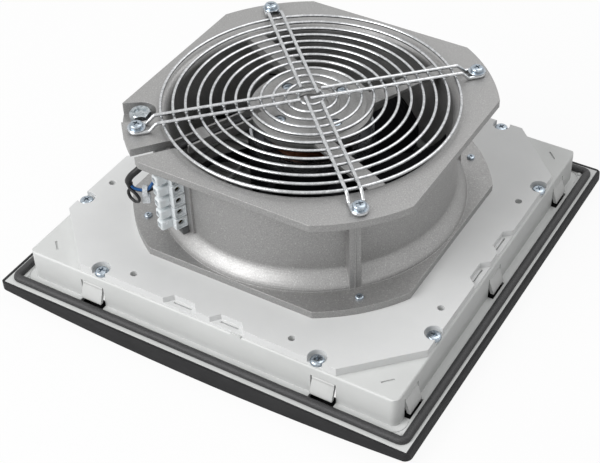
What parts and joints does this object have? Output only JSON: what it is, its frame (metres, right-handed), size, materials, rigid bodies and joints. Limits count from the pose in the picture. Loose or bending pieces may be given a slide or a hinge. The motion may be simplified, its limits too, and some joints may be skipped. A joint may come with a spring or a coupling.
{
  "type": "enclosure filter fan",
  "caption": "Square snap-in filter fan for a cabinet wall: louvred cover, seal, filter mat and axial fan with wire finger guard and terminal strip.",
  "frame": {"origin": "bottom centre of the box, at the crown of the cover's arched face", "axes": "+Z into the cabinet along the fan's axis, Y along the louvre slats, X across the arch"},
  "size_m": [0.325, 0.323, 0.1321],
  "materials": {
    "cover": "fine matt",
    "filter_mat": "needled fleece",
    "frame_plastic": "satin",
    "plate_plastic": "satin",
    "foam": "matt closed-cell foam",
    "screws": "bright zinc plated",
    "casting": "as cast, satin",
    "steel_dark": "plain",
    "core_iron": "stacked laminations",
    "copper": "varnished copper",
    "can": "drawn steel",
    "blades": "black coating",
    "guard_wire": "bright plated wire",
    "brass": "plain",
    "terminal_plastic": "translucent",
    "end_plastic": "matt",
    "sheath": "matt",
    "blue": "satin",
    "black": "satin",
    "tie": "satin"
  },
  "bodies": {
    "frame": {"base_frame": "frame_plastic", "seal": "foam", "carrier_plate": "plate_plastic", "plate_screws": "screws", "fan_housing": "casting", "flange_screws": "screws", "motor_flange": "steel_dark", "hub_screws": "screws", "stator_core": "core_iron", "stator_windings": "copper", "bearings": "steel_dark", "finger_guard": "guard_wire", "guard_arms": "guard_wire", "guard_washers": "screws", "guard_screws": "screws", "ground_screw": "screws", "ground_washers": "screws", "ground_nut": "screws", "terminal_block": "terminal_plastic", "terminal_clamps": "brass", "terminal_screws": "screws", "terminal_end": "end_plastic", "motor_lead": "sheath", "blue_wire": "blue", "black_wire": "black", "cable_tie": "tie"},
    "cover": {"front_cover": "cover"},
    "mat": {"filter_mat": "filter_mat"},
    "rotor": {"rotor_can": "can", "rotor_core": "core_iron", "shaft": "steel_dark", "shaft_clip": "steel_dark", "impeller": "blades"},
    "tongue_1": {"latch_1": "frame_plastic"},
    "tongue_2": {"latch_2": "frame_plastic"},
    "tongue_3": {"latch_3": "frame_plastic"},
    "tongue_4": {"latch_4": "frame_plastic"},
    "tongue_5": {"latch_5": "frame_plastic"},
    "tongue_6": {"latch_6": "frame_plastic"},
    "tongue_7": {"latch_7": "frame_plastic"},
    "tongue_8": {"latch_8": "frame_plastic"},
    "tongue_9": {"latch_9": "frame_plastic"},
    "tongue_10": {"latch_10": "frame_plastic"}
  },
  "joints": [
    {"name": "cover_pull", "type": "slide", "parent": "frame", "child": "cover", "axis": [0, 0, -1], "range_m": [0, 0.06]},
    {"name": "mat_pull", "type": "slide", "parent": "frame", "child": "mat", "axis": [0, 0, -1], "range_m": [0, 0.03]},
    {"name": "impeller_spin", "type": "hinge", "parent": "frame", "child": "rotor", "pos_m": [0, 0, 0.09], "axis": [0, 0, 1], "continuous": true},
    {"name": "tongue_1_flex", "type": "hinge", "parent": "frame", "child": "tongue_1", "pos_m": [-0.09145, -0.1436, 0.02885], "axis": [1, 0, 0], "range_deg": [0, 14], "stiffness_Nm_per_rad": 0.4},
    {"name": "tongue_2_flex", "type": "hinge", "parent": "frame", "child": "tongue_2", "pos_m": [0.09145, -0.1436, 0.02885], "axis": [1, 0, 0], "range_deg": [0, 14], "stiffness_Nm_per_rad": 0.4},
    {"name": "tongue_3_flex", "type": "hinge", "parent": "frame", "child": "tongue_3", "pos_m": [0.1436, -0.12444, 0.02885], "axis": [0, 1, 0], "range_deg": [0, 14], "stiffness_Nm_per_rad": 0.4},
    {"name": "tongue_4_flex", "type": "hinge", "parent": "frame", "child": "tongue_4", "pos_m": [0.1436, 0.00051, 0.02885], "axis": [0, 1, 0], "range_deg": [0, 14], "stiffness_Nm_per_rad": 0.4},
    {"name": "tongue_5_flex", "type": "hinge", "parent": "frame", "child": "tongue_5", "pos_m": [0.1436, 0.1125, 0.02885], "axis": [0, 1, 0], "range_deg": [0, 14], "stiffness_Nm_per_rad": 0.4},
    {"name": "tongue_6_flex", "type": "hinge", "parent": "frame", "child": "tongue_6", "pos_m": [0.09145, 0.1436, 0.02885], "axis": [-1, 0, 0], "range_deg": [0, 14], "stiffness_Nm_per_rad": 0.4},
    {"name": "tongue_7_flex", "type": "hinge", "parent": "frame", "child": "tongue_7", "pos_m": [-0.09145, 0.1436, 0.02885], "axis": [-1, 0, 0], "range_deg": [0, 14], "stiffness_Nm_per_rad": 0.4},
    {"name": "tongue_8_flex", "type": "hinge", "parent": "frame", "child": "tongue_8", "pos_m": [-0.1436, 0.12444, 0.02885], "axis": [0, -1, 0], "range_deg": [0, 14], "stiffness_Nm_per_rad": 0.4},
    {"name": "tongue_9_flex", "type": "hinge", "parent": "frame", "child": "tongue_9", "pos_m": [-0.1436, -0.00051, 0.02885], "axis": [0, -1, 0], "range_deg": [0, 14], "stiffness_Nm_per_rad": 0.4},
    {"name": "tongue_10_flex", "type": "hinge", "parent": "frame", "child": "tongue_10", "pos_m": [-0.1436, -0.1125, 0.02885], "axis": [0, -1, 0], "range_deg": [0, 14], "stiffness_Nm_per_rad": 0.4}
  ],
  "couplings": [
    {"joint": "mat_pull", "follows": "cover_pull", "ratio": 0.5}
  ]
}
